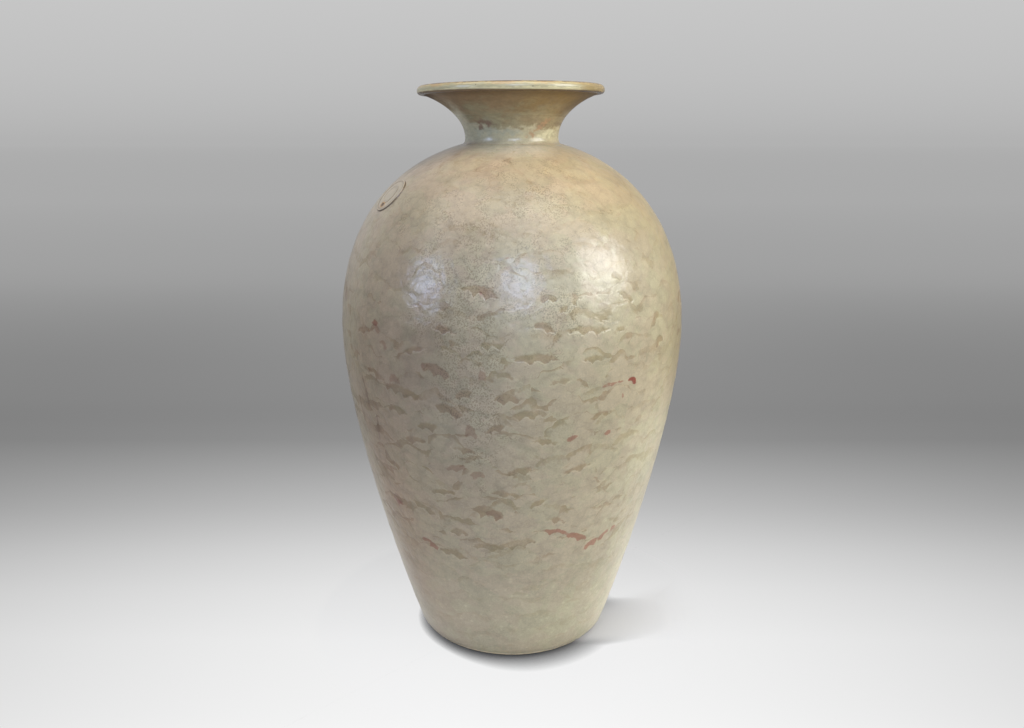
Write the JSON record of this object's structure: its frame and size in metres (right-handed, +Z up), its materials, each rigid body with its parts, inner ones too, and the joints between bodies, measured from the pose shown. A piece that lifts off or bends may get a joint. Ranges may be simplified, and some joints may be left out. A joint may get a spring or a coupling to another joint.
{
  "type": "tapered vase",
  "caption": "Tapered stoneware vase: broad shoulder drawn in to a narrow foot, short flared neck with a rounded lip, round blank seal on the shoulder.",
  "frame": {"origin": "centre of the foot ring, in the plane that the vase stands on", "axes": "+Z up the axis it was turned on, towards the mouth; -Y is the front in the picture, with the seal 64 degrees round from it towards -X"},
  "size_m": [0.232, 0.232, 0.38],
  "materials": {
    "bare_clay": "matte",
    "body_glaze": "satin",
    "neck_glaze": "satin",
    "lip_glaze": "satin",
    "lining_glaze": "satin",
    "seal_glaze": "satin"
  },
  "bodies": {
    "root": {"foot_slab": "bare_clay", "lower_wall": "body_glaze", "shoulder_dome": "body_glaze", "neck_root_coil": "neck_glaze", "flared_neck": "neck_glaze", "lip_ring": "lip_glaze", "floor_joint_coil": "lining_glaze", "belly_joint_coil": "lining_glaze", "shoulder_seal": "seal_glaze"}
  },
  "joints": []
}
